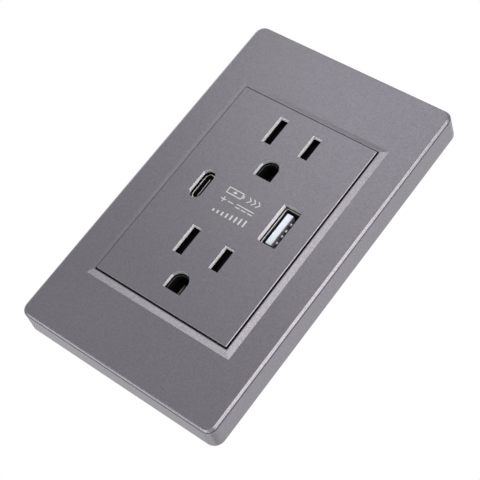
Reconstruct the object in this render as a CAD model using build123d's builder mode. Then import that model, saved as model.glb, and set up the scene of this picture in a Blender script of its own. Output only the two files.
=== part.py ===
from build123d import *
from math import atan, degrees
import os

os.makedirs("parts", exist_ok=True)

# Wall plate, with heights measured out of the wall
rim_width = 72.2
rim_height = 118.4
corner_radius = 3.4
side_flare = 0.3
seam_height = 7.9
seam_gap = 0.1
cover_step = 0.2
edge_band = 0.2
crest = 0.7
cover_skin = 2.0
bevel_rise = 0.8
bevel_width = 1.7
land = 0.25
frame_wall = 1.6
web_low = 1.6
web_thickness = 1.8
cover_fit = 0.2
lip_thickness = 1.0
lip_drop = 2.2
collar_thickness = 1.2
collar_clear = 0.5
rib_thickness = 1.4
rib_pitch = 36.0
rib_clear = 0.2

# Wall box screws
box_pitch = 83.3
box_slot_width = 4.2
box_slot_length = 6.4

# Hooks that hold the cover on the frame and the module in the frame
hook_pitch = 56.0
hook_width = 6.0
hook_thickness = 1.4
hook_inset = 3.0
hook_clear = 0.3
hook_tip = 0.9
barb_reach = 1.0
barb_gap = 0.1
wedge_pitch = 24.0
wedge_width = 7.0
wedge_length = 4.0

# Module front
module_width = 48.4
module_gap = 0.35
module_corner = 0.3
face_proud = 0.65
panel_skin = 1.85
panel_wall = 1.6
panel_edge = 0.22
flange_reach = 1.6
flange_thickness = 1.4

# Outlets and the spaces above, between and below them
slot_margin = 3.9
port_gap_above = 3.42
port_gap_below = 5.53
ground_margin = 5.6
blade_pitch = 12.7
blade_slot_width = 3.15
neutral_slot_height = 9.75
line_slot_height = 8.1
ground_drop = 11.9
ground_radius = 3.1
ground_flat = 3.5
ground_ledge = 0.4
ground_lip = 2.0

# Charging ports
port_recess = 2.05
shell_wall = 0.3
port_corner = 0.5
usb_a_margin = 6.7
usb_a_width = 6.3
usb_a_height = 13.8
usb_a_side_clear = 0.4
usb_a_end_clear = 0.2
usb_a_base = 4.0
tongue_a_thickness = 1.9
tongue_a_height = 11.1
tongue_a_offset = 0.6
tongue_a_recess = 0.5
tongue_a_chamfer = 0.4
contact_a_width = 1.0
contact_a_thickness = 0.25
contact_a_inset = 1.4
contact_a_places = (-3.5, -1.0, 1.0, 3.5)
usb_c_margin = 7.65
usb_c_width = 4.15
usb_c_height = 10.3
usb_c_clear = 0.42
usb_c_base = 6.0
tongue_c_thickness = 0.7
tongue_c_height = 6.7
tongue_c_recess = 0.4
contact_c_count = 12
contact_c_pitch = 0.5
contact_c_width = 0.26
contact_c_thickness = 0.08
contact_c_length = 4.0

# Rear housing
housing_gap = 0.4
housing_clear = 0.25
housing_wall = 1.8
housing_back = 2.0
housing_corner = 2.4
back_edge = 1.5
post_half = 3.3
post_inset_x = 4.2
post_inset_z = 4.1
ledge_width = 1.6
ledge_end_clear = 2.0
strip_rib = 1.4
strip_rib_span = 20.0
upper_rib_gap = 0.8

# Housing screws
screw_radius = 1.1
screw_head_radius = 2.1
screw_head_height = 1.8
screw_head_clear = 0.25
screw_clear = 0.15
screw_reach = 7.4
screw_bite = 3.6
pilot_clear = 0.05
boss_half = 2.6
pilot_depth = 4.2

# Contact carrier and safety shutters
carrier_clear = 0.2
carrier_depth = 14.1
carrier_rail = 1.6
chamber_wall = 1.2
post_clear = 0.3
shutter_thickness = 2.2
shutter_gap = 0.15
shutter_overlap = 0.3
shutter_side_gap = 0.2
shutter_rail = 2.4
shutter_margin = 0.4
shutter_travel = 3.5
ramp_run = 3.0
ramp_depth = 1.6
spring_thickness = 0.25
spring_width = 1.8
spring_span = 10.4
spring_crown = 3.0
spring_room = 1.8
spring_gap = 0.1

# Contact strips
strip_thickness = 0.7
strip_drop = 2.6
clip_half = 1.85
clip_throat = 0.95
clip_mouth = 1.5
clip_length = 7.6
clip_clear = 0.2
clip_gap = 0.7
clip_flare = 1.3
clip_taper = 1.6
blade_chamber_margin = 0.3
ground_clip_half = 2.45
ground_clip_throat = 2.1
ground_clip_mouth = 2.75
ground_clip_length = 5.0
ground_clip_drop = 4.0
ground_chamber_above = 3.4
ground_chamber_below = 4.2
tail_width = 1.6
tail_inset = 2.5

# Screw terminals on the back
terminal_gap = 0.9
terminal_inset = 4.7
tab_half = 3.2
terminal_floor_gap = 0.3
wire_gap = 2.0
wire_hole_size = 3.2
clamp_size = 6.0
clamp_thickness = 1.0
terminal_radius = 1.45
terminal_head_radius = 2.7
terminal_head_height = 1.8
terminal_tip = 1.5
thread_clear = 0.05
clamp_clear = 0.1
driver_slot_width = 0.8
driver_slot_depth = 0.8
driver_hole_clear = 0.3

# Circuit boards and what they carry
board_thickness = 1.6
board_edge_gap = 0.3
port_board_side_gap = 0.8
sheet_thickness = 0.4
sheet_inset = 3.2
parts_gap = 1.5
power_board_rise = 2.0
power_board_side_gap = 0.4
power_board_low_gap = 9.3
power_board_high_gap = 6.2
stand_width = 2.0
stand_inset = 4.0
pin_size = 0.64
pin_pitch = 2.5
pin_count = 4
pin_inset = 2.0
pin_edge = 1.0
core_inset = 11.0
core_drop = 14.0
core_width = 13.0
core_height = 9.6
core_depth = 5.2
core_leg = 2.5
core_middle = 3.0
core_yoke = 2.2
coil_length = 11.0
coil_gap = 0.2
input_can_inset = 10.5
input_can_drop = 7.0
input_can_radius = 4.0
input_can_height = 9.4
output_can_inset = 10.5
output_can_rise = 20.0
output_can_radius = 3.15
output_can_height = 8.0
block_edge = 0.5
bridge_inset = 7.0
bridge_rise = 9.0
bridge_width = 6.4
bridge_height = 4.8
bridge_thickness = 2.2
chip_inset = 11.0
chip_rise = 18.0
chip_length = 4.9
chip_width = 3.9
chip_thickness = 1.5
chip_lead_count = 4
chip_lead_pitch = 1.27
chip_lead_width = 0.42
chip_lead_reach = 1.0
chip_lead_thickness = 0.25
chip_standoff = 0.2
fuse_inset = 8.0
fuse_rise = 7.5
fuse_length = 8.4
fuse_width = 4.0
fuse_height = 7.6

# Worked out sizes
seam_width = rim_width - 2 * side_flare
seam_length = rim_height - 2 * side_flare
seam_radius = corner_radius - side_flare
cover_width = seam_width - 2 * cover_step
cover_height = seam_length - 2 * cover_step
cover_radius = seam_radius - cover_step
inner_width = seam_width - 2 * frame_wall
inner_height = seam_length - 2 * frame_wall
inner_radius = seam_radius - frame_wall
outlet_reach = ground_drop + ground_flat
outlet_height = neutral_slot_height / 2 + outlet_reach
port_zone = port_gap_above + usb_a_height + port_gap_below
module_height = slot_margin + 2 * outlet_height + port_zone + ground_margin
upper_outlet = module_height / 2 - slot_margin - neutral_slot_height / 2
port_level = upper_outlet - outlet_reach - port_gap_above - usb_a_height / 2
lower_outlet = port_level - usb_a_height / 2 - port_gap_below - neutral_slot_height / 2
outlets = {"upper": upper_outlet, "lower": lower_outlet}
usb_a_x = module_width / 2 - usb_a_margin - usb_a_width / 2
usb_c_x = usb_c_margin + usb_c_width / 2 - module_width / 2
web_top = web_low + web_thickness
cover_low = seam_height + seam_gap
plate_face = cover_low + edge_band + crest
cover_under = plate_face - cover_skin
land_face = plate_face + bevel_rise
module_face = land_face + face_proud
panel_under = module_face - panel_skin
flange_top = web_top + flange_thickness
collar_low = flange_top + collar_clear
opening_width = module_width + 2 * module_gap
opening_height = module_height + 2 * module_gap
foot_width = opening_width + 2 * (land + bevel_width)
foot_height = opening_height + 2 * (land + bevel_width)
housing_width = module_width - 2 * housing_gap
housing_height = module_height - 2 * housing_gap
cavity_width = housing_width - 2 * housing_wall
cavity_height = housing_height - 2 * housing_wall
post_x = housing_width / 2 - post_inset_x
post_z = housing_height / 2 - post_inset_z
hook_x = inner_width / 2 - hook_inset
carrier_width = cavity_width - 2 * carrier_clear
carrier_height = cavity_height - 2 * carrier_clear
shutter_half = (blade_pitch + blade_slot_width) / 2 + shutter_overlap
window_half = (blade_pitch - blade_slot_width) / 2 - shutter_overlap
shutter_top = neutral_slot_height / 2 + shutter_margin
shutter_low = -shutter_top - shutter_rail
shutter_front = panel_under - shutter_gap
channel_floor = shutter_front - shutter_thickness - shutter_gap
spring_wall = shutter_half + shutter_travel + spring_room
clip_top = channel_floor - clip_gap
clip_throat_height = clip_top - clip_flare
clip_shoulder = clip_throat_height - clip_taper
chamber_half = clip_half + strip_thickness / 2 + clip_clear
chamber_reach = neutral_slot_height / 2 + blade_chamber_margin
ground_chamber_half = ground_clip_mouth + strip_thickness / 2 + clip_clear
window_low = outlets["lower"] + shutter_top + shutter_side_gap + chamber_wall
window_high = outlets["upper"] - ground_drop - ground_chamber_below - chamber_wall
carrier_low = panel_under - carrier_depth
strip_top = carrier_low - strip_drop
strip_low = strip_top - strip_thickness
strip_middle = (strip_top + strip_low) / 2
strip_half = clip_half + strip_thickness / 2
port_board_low = carrier_low - board_thickness
tallest_part = max(core_height, input_can_height, output_can_height, fuse_height)
power_board_front = strip_low - parts_gap - tallest_part
power_board_back = power_board_front - board_thickness
floor = power_board_back - power_board_rise
housing_depth = housing_back - floor
head_top = floor + terminal_floor_gap + terminal_head_height
clamp_top = head_top + clamp_thickness
tab_low = clamp_top + wire_gap
tab_top = tab_low + strip_thickness
terminal_x = post_x - post_half - terminal_gap - tab_half
terminal_z = terminal_inset - cavity_height / 2
power_board_half = cavity_width / 2 - ledge_width - power_board_side_gap
power_board_low = terminal_z + tab_half + power_board_low_gap
power_board_high = cavity_height / 2 - power_board_high_gap
screw_seat = web_top - screw_reach
shell_tip = module_face - port_recess
shell_a_width = usb_a_width - 2 * usb_a_side_clear
shell_a_height = usb_a_height - 2 * usb_a_end_clear
shell_c_width = usb_c_width - 2 * usb_c_clear
shell_c_height = usb_c_height - 2 * usb_c_clear
screw_places = [(-post_x, post_z), (post_x, -post_z)]
terminal_places = [(x * terminal_x, terminal_z) for x in (-1, 0, 1)]
pieces = {}


def level(height):
    return Plane.XZ.offset(height)


def draw_ground_hole(middle, radius, flat):
    with Locations((0, middle)):
        Circle(radius)
    with Locations((0, middle - flat / 2)):
        Rectangle(2 * radius, flat)


def draw_block(low_x, high_x, low_z, high_z):
    with Locations(((low_x + high_x) / 2, (low_z + high_z) / 2)):
        Rectangle(high_x - low_x, high_z - low_z)


def cut_corner_blocks(width, height, half):
    with GridLocations(width, height, 2, 2):
        block_width = width - 2 * (post_x - half)
        block_height = height - 2 * (post_z - half)
        Rectangle(block_width, block_height, mode=Mode.SUBTRACT)


# Base frame: flared rim, web with the box screw slots, and windows for the cover's hooks
with BuildPart() as base_frame:
    with BuildSketch(level(0)):
        RectangleRounded(rim_width, rim_height, corner_radius)
    extrude(amount=seam_height, taper=degrees(atan(side_flare / seam_height)))
    with BuildSketch(level(web_top)):
        RectangleRounded(inner_width, inner_height, inner_radius)
    extrude(amount=seam_height - web_top, mode=Mode.SUBTRACT)
    with BuildSketch(level(0)):
        RectangleRounded(inner_width, inner_height, inner_radius)
    extrude(amount=web_low, mode=Mode.SUBTRACT)
    rib_end = inner_height / 2 + frame_wall / 2
    rib_start = module_height / 2 + flange_reach + hook_clear
    with BuildSketch(level(web_top)):
        for side in (-1, 1):
            with Locations((0, side * (rib_start + rib_end) / 2)):
                with GridLocations(rib_pitch, 0, 2, 1):
                    Rectangle(rib_thickness, rib_end - rib_start)
    extrude(amount=cover_under - lip_drop - rib_clear - web_top)
    with BuildSketch(level(web_low)):
        Rectangle(housing_width + 2 * housing_clear, housing_height + 2 * housing_clear)
        with GridLocations(0, box_pitch, 1, 2):
            SlotOverall(box_slot_length, box_slot_width, rotation=90)
        with GridLocations(2 * hook_x, hook_pitch, 2, 2):
            Rectangle(hook_thickness + 2 * hook_clear, hook_width + 2 * hook_clear)
    extrude(amount=web_thickness, mode=Mode.SUBTRACT)
pieces["base_frame"] = base_frame

# Cover plate: chamfered crest, raised bevel round the module, lip and snap hooks behind
with BuildPart() as cover_plate:
    with BuildSketch(level(cover_low)):
        RectangleRounded(cover_width, cover_height, cover_radius)
    extrude(amount=plate_face - cover_low)
    chamfer(cover_plate.faces().sort_by(Axis.Y)[0].edges(), crest)
    with BuildSketch(level(plate_face)):
        Rectangle(foot_width, foot_height)
    extrude(amount=bevel_rise, taper=degrees(atan(bevel_width / bevel_rise)))
    lip_width = inner_width - 2 * cover_fit
    lip_height = inner_height - 2 * cover_fit
    lip_radius = inner_radius - cover_fit
    with BuildSketch(level(cover_under)):
        RectangleRounded(lip_width, lip_height, lip_radius)
    extrude(amount=cover_low - cover_under)
    with BuildSketch(level(cover_under)):
        RectangleRounded(lip_width, lip_height, lip_radius)
        lip_inside = (lip_width - 2 * lip_thickness, lip_height - 2 * lip_thickness)
        RectangleRounded(*lip_inside, lip_radius - lip_thickness, mode=Mode.SUBTRACT)
    extrude(amount=-lip_drop)
    with BuildSketch(level(collar_low)):
        Rectangle(opening_width + 2 * collar_thickness, opening_height + 2 * collar_thickness)
    extrude(amount=cover_under - collar_low)
    with BuildSketch(level(collar_low)):
        RectangleRounded(opening_width, opening_height, module_corner)
    extrude(amount=land_face - collar_low, mode=Mode.SUBTRACT)
    barb_top = web_low - barb_gap
    hook_low = web_low - hook_tip
    hook_inner = hook_x - hook_thickness / 2
    hook_outer = hook_x + hook_thickness / 2
    hook_profile = [
        (hook_inner, cover_under),
        (hook_outer, cover_under),
        (hook_outer, barb_top),
        (hook_outer + barb_reach, barb_top),
        (hook_outer, hook_low),
        (hook_inner, hook_low),
    ]
    for side in (-1, 1):
        for hook_z in (-hook_pitch / 2, hook_pitch / 2):
            with BuildSketch(Plane.XY.offset(hook_z)):
                with BuildLine():
                    Polyline(*[(side * x, -height) for x, height in hook_profile], close=True)
                make_face()
            extrude(amount=hook_width / 2, both=True)
pieces["cover_plate"] = cover_plate

# Face panel: slotted front skin, skirt, seating flange and screw bosses
with BuildPart() as face_panel:
    with BuildSketch(level(web_top)):
        RectangleRounded(module_width, module_height, module_corner)
    extrude(amount=module_face - web_top)
    chamfer(face_panel.faces().sort_by(Axis.Y)[0].edges(), panel_edge)
    with BuildSketch(level(web_top)):
        Rectangle(module_width + 2 * flange_reach, module_height + 2 * flange_reach)
    extrude(amount=flange_thickness)
    skirt_inside = (module_width - 2 * panel_wall, module_height - 2 * panel_wall)
    with BuildSketch(level(web_top)):
        Rectangle(*skirt_inside)
        cut_corner_blocks(*skirt_inside, boss_half)
    extrude(amount=panel_under - web_top, mode=Mode.SUBTRACT)
    with BuildSketch(level(web_top)):
        with Locations(*screw_places):
            Circle(screw_radius + pilot_clear)
    extrude(amount=pilot_depth, mode=Mode.SUBTRACT)
    with BuildSketch(level(panel_under)):
        for outlet in outlets.values():
            with Locations((-blade_pitch / 2, outlet)):
                Rectangle(blade_slot_width, neutral_slot_height)
            with Locations((blade_pitch / 2, outlet)):
                Rectangle(blade_slot_width, line_slot_height)
            draw_ground_hole(outlet - ground_drop, ground_radius, ground_flat)
        with Locations((usb_a_x, port_level)):
            RectangleRounded(usb_a_width, usb_a_height, port_corner)
        with Locations((usb_c_x, port_level)):
            SlotOverall(usb_c_height, usb_c_width, rotation=90)
    extrude(amount=panel_skin, mode=Mode.SUBTRACT)
pieces["face_panel"] = face_panel

# Contact carrier: shutter channels, blade and ground chambers, and a window for the ports
with BuildPart() as contact_carrier:
    with BuildSketch(level(carrier_low)):
        Rectangle(carrier_width, carrier_height)
        cut_corner_blocks(carrier_width, carrier_height, post_half + post_clear)
        window_half_width = carrier_width / 2 - carrier_rail
        with Locations((0, (window_low + window_high) / 2)):
            Rectangle(2 * window_half_width, window_high - window_low, mode=Mode.SUBTRACT)
    extrude(amount=panel_under - carrier_low)
    with BuildSketch(level(channel_floor)):
        for outlet in outlets.values():
            low_side = outlet + shutter_low - shutter_side_gap
            high_side = outlet + shutter_top + shutter_side_gap
            draw_block(-shutter_half - shutter_side_gap, spring_wall, low_side, high_side)
    extrude(amount=panel_under - channel_floor, mode=Mode.SUBTRACT)
    with BuildSketch(level(carrier_low)):
        for outlet in outlets.values():
            with Locations((0, outlet)):
                with GridLocations(blade_pitch, 0, 2, 1):
                    Rectangle(2 * chamber_half, 2 * chamber_reach)
    extrude(amount=channel_floor - carrier_low, mode=Mode.SUBTRACT)
    with BuildSketch(level(carrier_low)):
        for outlet in outlets.values():
            middle = outlet - ground_drop
            low_side = middle - ground_chamber_below
            high_side = middle + ground_chamber_above
            draw_block(-ground_chamber_half, ground_chamber_half, low_side, high_side)
    extrude(amount=panel_under - ground_lip - carrier_low, mode=Mode.SUBTRACT)
    with BuildSketch(level(panel_under)):
        for outlet in outlets.values():
            draw_ground_hole(outlet - ground_drop, ground_radius - ground_ledge, ground_flat - ground_ledge)
    extrude(amount=-ground_lip, mode=Mode.SUBTRACT)
pieces["contact_carrier"] = contact_carrier

# Safety shutters: two ramped blocks joined by a rail below the slots, and a bow spring each
for place, outlet in outlets.items():
    with BuildPart() as shutter:
        with BuildSketch(level(shutter_front)):
            draw_block(-shutter_half, shutter_half, outlet + shutter_low, outlet + shutter_top)
            with Locations((0, outlet)):
                Rectangle(2 * window_half, 2 * shutter_top, mode=Mode.SUBTRACT)
        extrude(amount=-shutter_thickness)
        for block_left in (-shutter_half, window_half):
            with BuildSketch(Plane.XY.offset(outlet)):
                with BuildLine():
                    Polyline(
                        (block_left, -shutter_front),
                        (block_left + ramp_run, -shutter_front),
                        (block_left, ramp_depth - shutter_front),
                        close=True,
                    )
                make_face()
            extrude(amount=shutter_top, both=True, mode=Mode.SUBTRACT)
    pieces[f"{place}_shutter"] = shutter

    spring_middle = outlet + (shutter_top + shutter_low) / 2
    spring_level = shutter_front - shutter_thickness / 2
    bow_start = spring_wall - spring_gap - spring_thickness / 2
    bow_crown = shutter_half + spring_gap + spring_thickness / 2
    with BuildPart() as spring:
        with BuildSketch(level(spring_level)):
            with BuildLine():
                Polyline(
                    (bow_start, spring_middle - spring_span / 2),
                    (bow_crown, spring_middle - spring_crown / 2),
                    (bow_crown, spring_middle + spring_crown / 2),
                    (bow_start, spring_middle + spring_span / 2),
                )
            trace(line_width=spring_thickness)
        extrude(amount=spring_width / 2, both=True)
    pieces[f"{place}_shutter_spring"] = spring

# Line and neutral strips: a sprung clip behind each slot, a tail to the board and a terminal tab
clip_shape = [(clip_mouth, clip_top), (clip_throat, clip_throat_height), (clip_half, clip_shoulder)]
for name, side in (("line_contacts", 1), ("neutral_contacts", -1)):
    centre = side * blade_pitch / 2
    with BuildPart() as strip:
        for outlet in outlets.values():
            right = [(centre + x, -height) for x, height in clip_shape]
            left = [(centre - x, -height) for x, height in reversed(clip_shape)]
            turn = [(centre + clip_half, -strip_middle), (centre - clip_half, -strip_middle)]
            with BuildSketch(Plane.XY.offset(outlet)):
                with BuildLine():
                    Polyline(*right, *turn, *left)
                trace(line_width=strip_thickness)
            extrude(amount=clip_length / 2, both=True)
        tab_left = terminal_x - tab_half
        with BuildSketch(level(strip_low)):
            low_side = terminal_z - tab_half
            high_side = outlets["upper"] + clip_length / 2
            draw_block(centre - strip_half, centre + strip_half, low_side, high_side)
            edges_x = sorted((centre, side * (tab_left + strip_thickness)))
            draw_block(*edges_x, low_side, terminal_z + tab_half)
        extrude(amount=strip_thickness)
        riser_x = tab_left + strip_thickness / 2
        with BuildSketch(Plane.XY.offset(terminal_z)):
            with BuildLine():
                Polyline(
                    (side * riser_x, -strip_middle),
                    (side * riser_x, strip_thickness / 2 - tab_top),
                    (side * (terminal_x + tab_half), strip_thickness / 2 - tab_top),
                )
            trace(line_width=strip_thickness)
        extrude(amount=tab_half, both=True)
        with BuildSketch(level(tab_low)):
            with Locations((side * terminal_x, terminal_z)):
                Circle(terminal_radius + thread_clear)
        extrude(amount=strip_thickness, mode=Mode.SUBTRACT)
        tail_edge = centre + side * strip_half
        tail_level = power_board_low + tail_inset
        tail_sides = sorted((tail_edge, tail_edge - side * strip_thickness))
        with BuildSketch(level(power_board_front)):
            draw_block(*tail_sides, tail_level - tail_width / 2, tail_level + tail_width / 2)
        extrude(amount=strip_low - power_board_front)
    pieces[name] = strip

# Ground strap: a sprung clip behind each ground hole and a terminal tab at the lower end
ground_shape = [
    (ground_clip_mouth, clip_top - ground_clip_drop),
    (ground_clip_throat, clip_throat_height - ground_clip_drop),
    (ground_clip_half, clip_shoulder - ground_clip_drop),
]
with BuildPart() as ground_strap:
    for outlet in outlets.values():
        right = [(x, -height) for x, height in ground_shape]
        left = [(-x, -height) for x, height in reversed(ground_shape)]
        turn = [(ground_clip_half, -strip_middle), (-ground_clip_half, -strip_middle)]
        with BuildSketch(Plane.XY.offset(outlet - ground_drop)):
            with BuildLine():
                Polyline(*right, *turn, *left)
            trace(line_width=strip_thickness)
        extrude(amount=ground_clip_length / 2, both=True)
    with BuildSketch(level(strip_low)):
        high_side = outlets["upper"] - ground_drop + ground_clip_length / 2
        draw_block(-ground_clip_half, ground_clip_half, terminal_z - tab_half, high_side)
    extrude(amount=strip_thickness)
    riser_z = terminal_z - tab_half + strip_thickness / 2
    with BuildSketch(Plane.YZ):
        with BuildLine():
            Polyline(
                (-strip_middle, riser_z),
                (strip_thickness / 2 - tab_top, riser_z),
                (strip_thickness / 2 - tab_top, terminal_z + tab_half),
            )
        trace(line_width=strip_thickness)
    extrude(amount=ground_clip_half, both=True)
    with BuildSketch(level(tab_low)):
        with Locations((0, terminal_z)):
            Circle(terminal_radius + thread_clear)
    extrude(amount=strip_thickness, mode=Mode.SUBTRACT)
pieces["ground_strap"] = ground_strap

# Terminal screws and the notched clamps above their heads
with BuildPart() as terminal_screws:
    with BuildSketch(level(head_top)):
        with Locations(*terminal_places):
            Circle(terminal_head_radius)
    extrude(amount=-terminal_head_height)
    with BuildSketch(level(head_top)):
        with Locations(*terminal_places):
            Circle(terminal_radius)
    extrude(amount=tab_top + terminal_tip - head_top)
    with BuildSketch(level(head_top - terminal_head_height)):
        with Locations(*terminal_places):
            Rectangle(2 * terminal_head_radius, driver_slot_width)
    extrude(amount=driver_slot_depth, mode=Mode.SUBTRACT)
pieces["terminal_screws"] = terminal_screws

notch_half = terminal_radius + clamp_clear
with BuildPart() as terminal_clamps:
    with BuildSketch(level(head_top)):
        with Locations(*terminal_places):
            Rectangle(clamp_size, clamp_size)
            Circle(notch_half, mode=Mode.SUBTRACT)
        with Locations(*[(x, z + clamp_size / 4) for x, z in terminal_places]):
            Rectangle(2 * notch_half, clamp_size / 2, mode=Mode.SUBTRACT)
    extrude(amount=clamp_thickness)
pieces["terminal_clamps"] = terminal_clamps

# Rear housing: box with corner posts, board ledges, strip ribs, wire holes and snap wedges
with BuildPart() as rear_housing:
    with BuildSketch(level(-housing_depth)):
        RectangleRounded(housing_width, housing_height, housing_corner)
    extrude(amount=web_top + housing_depth)
    chamfer(rear_housing.faces().sort_by(Axis.Y)[-1].edges(), back_edge)
    with BuildSketch(level(floor)):
        Rectangle(cavity_width, cavity_height)
        cut_corner_blocks(cavity_width, cavity_height, post_half)
    extrude(amount=web_top - floor, mode=Mode.SUBTRACT)
    ledge_reach = post_z - post_half - ledge_end_clear
    with BuildSketch(level(floor)):
        with GridLocations(cavity_width - ledge_width, 0, 2, 1):
            Rectangle(ledge_width, 2 * ledge_reach)
    extrude(amount=port_board_low - floor)
    upper_rib = outlets["upper"] + clip_length / 2 - upper_rib_gap
    lower_rib = (power_board_low + terminal_z + tab_half) / 2
    with BuildSketch(level(floor)):
        with Locations((0, upper_rib), (0, lower_rib)):
            Rectangle(strip_rib_span, strip_rib)
    extrude(amount=strip_low - floor)
    with BuildSketch(level(floor)):
        with Locations((0, power_board_low + stand_inset), (0, power_board_high - stand_inset)):
            Rectangle(2 * (power_board_half - stand_inset), stand_width)
    extrude(amount=power_board_rise)
    with BuildSketch(level(-housing_depth)):
        with Locations(*screw_places):
            Circle(screw_head_radius + screw_head_clear)
    extrude(amount=housing_depth + screw_seat, mode=Mode.SUBTRACT)
    with BuildSketch(level(screw_seat)):
        with Locations(*screw_places):
            Circle(screw_radius + screw_clear)
    extrude(amount=web_top - screw_seat, mode=Mode.SUBTRACT)
    with BuildSketch(level(-housing_depth)):
        with Locations(*terminal_places):
            Circle(terminal_head_radius + driver_hole_clear)
    extrude(amount=housing_back, mode=Mode.SUBTRACT)
    wire_level = (tab_low + clamp_top) / 2
    with BuildSketch(Plane.XY.offset(-housing_height / 2)):
        with Locations(*[(x, -wire_level) for x, z in terminal_places]):
            Rectangle(wire_hole_size, wire_hole_size)
    extrude(amount=housing_wall, mode=Mode.SUBTRACT)
    wedge_base = housing_height / 2
    for side in (-1, 1):
        for wedge_x in (-wedge_pitch / 2, wedge_pitch / 2):
            with BuildSketch(Plane.YZ.offset(wedge_x)):
                with BuildLine():
                    Polyline(
                        (-barb_top, side * wedge_base),
                        (-barb_top, side * (wedge_base + barb_reach)),
                        (wedge_length - barb_top, side * wedge_base),
                        close=True,
                    )
                make_face()
            extrude(amount=wedge_width / 2, both=True)
pieces["rear_housing"] = rear_housing

# Long screws from the back of the housing into the face panel's bosses
with BuildPart() as housing_screws:
    with BuildSketch(level(screw_seat)):
        with Locations(*screw_places):
            Circle(screw_head_radius)
    extrude(amount=-screw_head_height)
    with BuildSketch(level(screw_seat)):
        with Locations(*screw_places):
            Circle(screw_radius)
    extrude(amount=web_top + screw_bite - screw_seat)
    with BuildSketch(level(screw_seat - screw_head_height)):
        with Locations(*screw_places):
            Rectangle(2 * screw_head_radius, driver_slot_width)
    extrude(amount=driver_slot_depth, mode=Mode.SUBTRACT)
pieces["housing_screws"] = housing_screws

# Port board, resting on the housing's ledges under the carrier's rails
port_board_half = cavity_width / 2 - port_board_side_gap
board_low_z = window_low + board_edge_gap
board_high_z = window_high - board_edge_gap
with BuildPart() as port_board:
    with BuildSketch(level(port_board_low)):
        draw_block(-port_board_half, port_board_half, board_low_z, board_high_z)
    extrude(amount=board_thickness)
pieces["port_board"] = port_board

# Insulating sheet on the back of the port board, in front of the live strips
pin_z = board_high_z - pin_edge
sheet_half = power_board_half - sheet_inset
with BuildPart() as insulating_sheet:
    with BuildSketch(level(port_board_low)):
        draw_block(-sheet_half, sheet_half, board_low_z, pin_z - pin_size - board_edge_gap)
    extrude(amount=-sheet_thickness)
pieces["insulating_sheet"] = insulating_sheet

# USB-A port: folded shell, tongue on its base and four sprung contacts
with BuildPart() as usb_a_shell:
    with BuildSketch(level(carrier_low)):
        with Locations((usb_a_x, port_level)):
            RectangleRounded(shell_a_width, shell_a_height, port_corner)
            shell_a_inside = (shell_a_width - 2 * shell_wall, shell_a_height - 2 * shell_wall)
            RectangleRounded(*shell_a_inside, port_corner - shell_wall, mode=Mode.SUBTRACT)
    extrude(amount=shell_tip - carrier_low)
pieces["usb_a_shell"] = usb_a_shell

tongue_a_x = usb_a_x - tongue_a_offset
tongue_a_tip = shell_tip - tongue_a_recess
with BuildPart() as usb_a_tongue:
    with BuildSketch(level(carrier_low)):
        with Locations((usb_a_x, port_level)):
            RectangleRounded(*shell_a_inside, port_corner - shell_wall)
    extrude(amount=usb_a_base)
    with BuildSketch(level(carrier_low + usb_a_base)):
        with Locations((tongue_a_x, port_level)):
            Rectangle(tongue_a_thickness, tongue_a_height)
    extrude(amount=tongue_a_tip - carrier_low - usb_a_base)
    chamfer(usb_a_tongue.faces().sort_by(Axis.Y)[0].edges(), tongue_a_chamfer)
pieces["usb_a_tongue"] = usb_a_tongue

contact_a_x = tongue_a_x + (tongue_a_thickness + contact_a_thickness) / 2
with BuildPart() as usb_a_contacts:
    with BuildSketch(level(carrier_low + usb_a_base)):
        with Locations(*[(contact_a_x, port_level + place) for place in contact_a_places]):
            Rectangle(contact_a_thickness, contact_a_width)
    extrude(amount=tongue_a_tip - contact_a_inset - carrier_low - usb_a_base)
pieces["usb_a_contacts"] = usb_a_contacts

# USB-C port: round-ended shell, thin tongue on its base and two rows of contacts
with BuildPart() as usb_c_shell:
    with BuildSketch(level(carrier_low)):
        with Locations((usb_c_x, port_level)):
            SlotOverall(shell_c_height, shell_c_width, rotation=90)
            shell_c_inside = (shell_c_height - 2 * shell_wall, shell_c_width - 2 * shell_wall)
            SlotOverall(*shell_c_inside, rotation=90, mode=Mode.SUBTRACT)
    extrude(amount=shell_tip - carrier_low)
pieces["usb_c_shell"] = usb_c_shell

tongue_c_tip = shell_tip - tongue_c_recess
with BuildPart() as usb_c_tongue:
    with BuildSketch(level(carrier_low)):
        with Locations((usb_c_x, port_level)):
            SlotOverall(*shell_c_inside, rotation=90)
    extrude(amount=usb_c_base)
    with BuildSketch(level(carrier_low + usb_c_base)):
        with Locations((usb_c_x, port_level)):
            Rectangle(tongue_c_thickness, tongue_c_height)
    extrude(amount=tongue_c_tip - carrier_low - usb_c_base)
pieces["usb_c_tongue"] = usb_c_tongue

contact_c_spread = tongue_c_thickness + contact_c_thickness
with BuildPart() as usb_c_contacts:
    with BuildSketch(level(carrier_low + usb_c_base)):
        with Locations((usb_c_x, port_level)):
            with GridLocations(contact_c_spread, contact_c_pitch, 2, contact_c_count):
                Rectangle(contact_c_thickness, contact_c_width)
    extrude(amount=contact_c_length)
pieces["usb_c_contacts"] = usb_c_contacts

# Power board on the housing's stands, and the pins that feed the port board
with BuildPart() as power_board:
    with BuildSketch(level(power_board_back)):
        draw_block(-power_board_half, power_board_half, power_board_low, power_board_high)
    extrude(amount=board_thickness)
pieces["power_board"] = power_board

pin_start = power_board_half - pin_inset
with BuildPart() as board_pins:
    with BuildSketch(level(power_board_front)):
        with Locations(*[(pin_start - n * pin_pitch, pin_z) for n in range(pin_count)]):
            Rectangle(pin_size, pin_size)
    extrude(amount=port_board_low - power_board_front)
pieces["board_pins"] = board_pins

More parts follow.
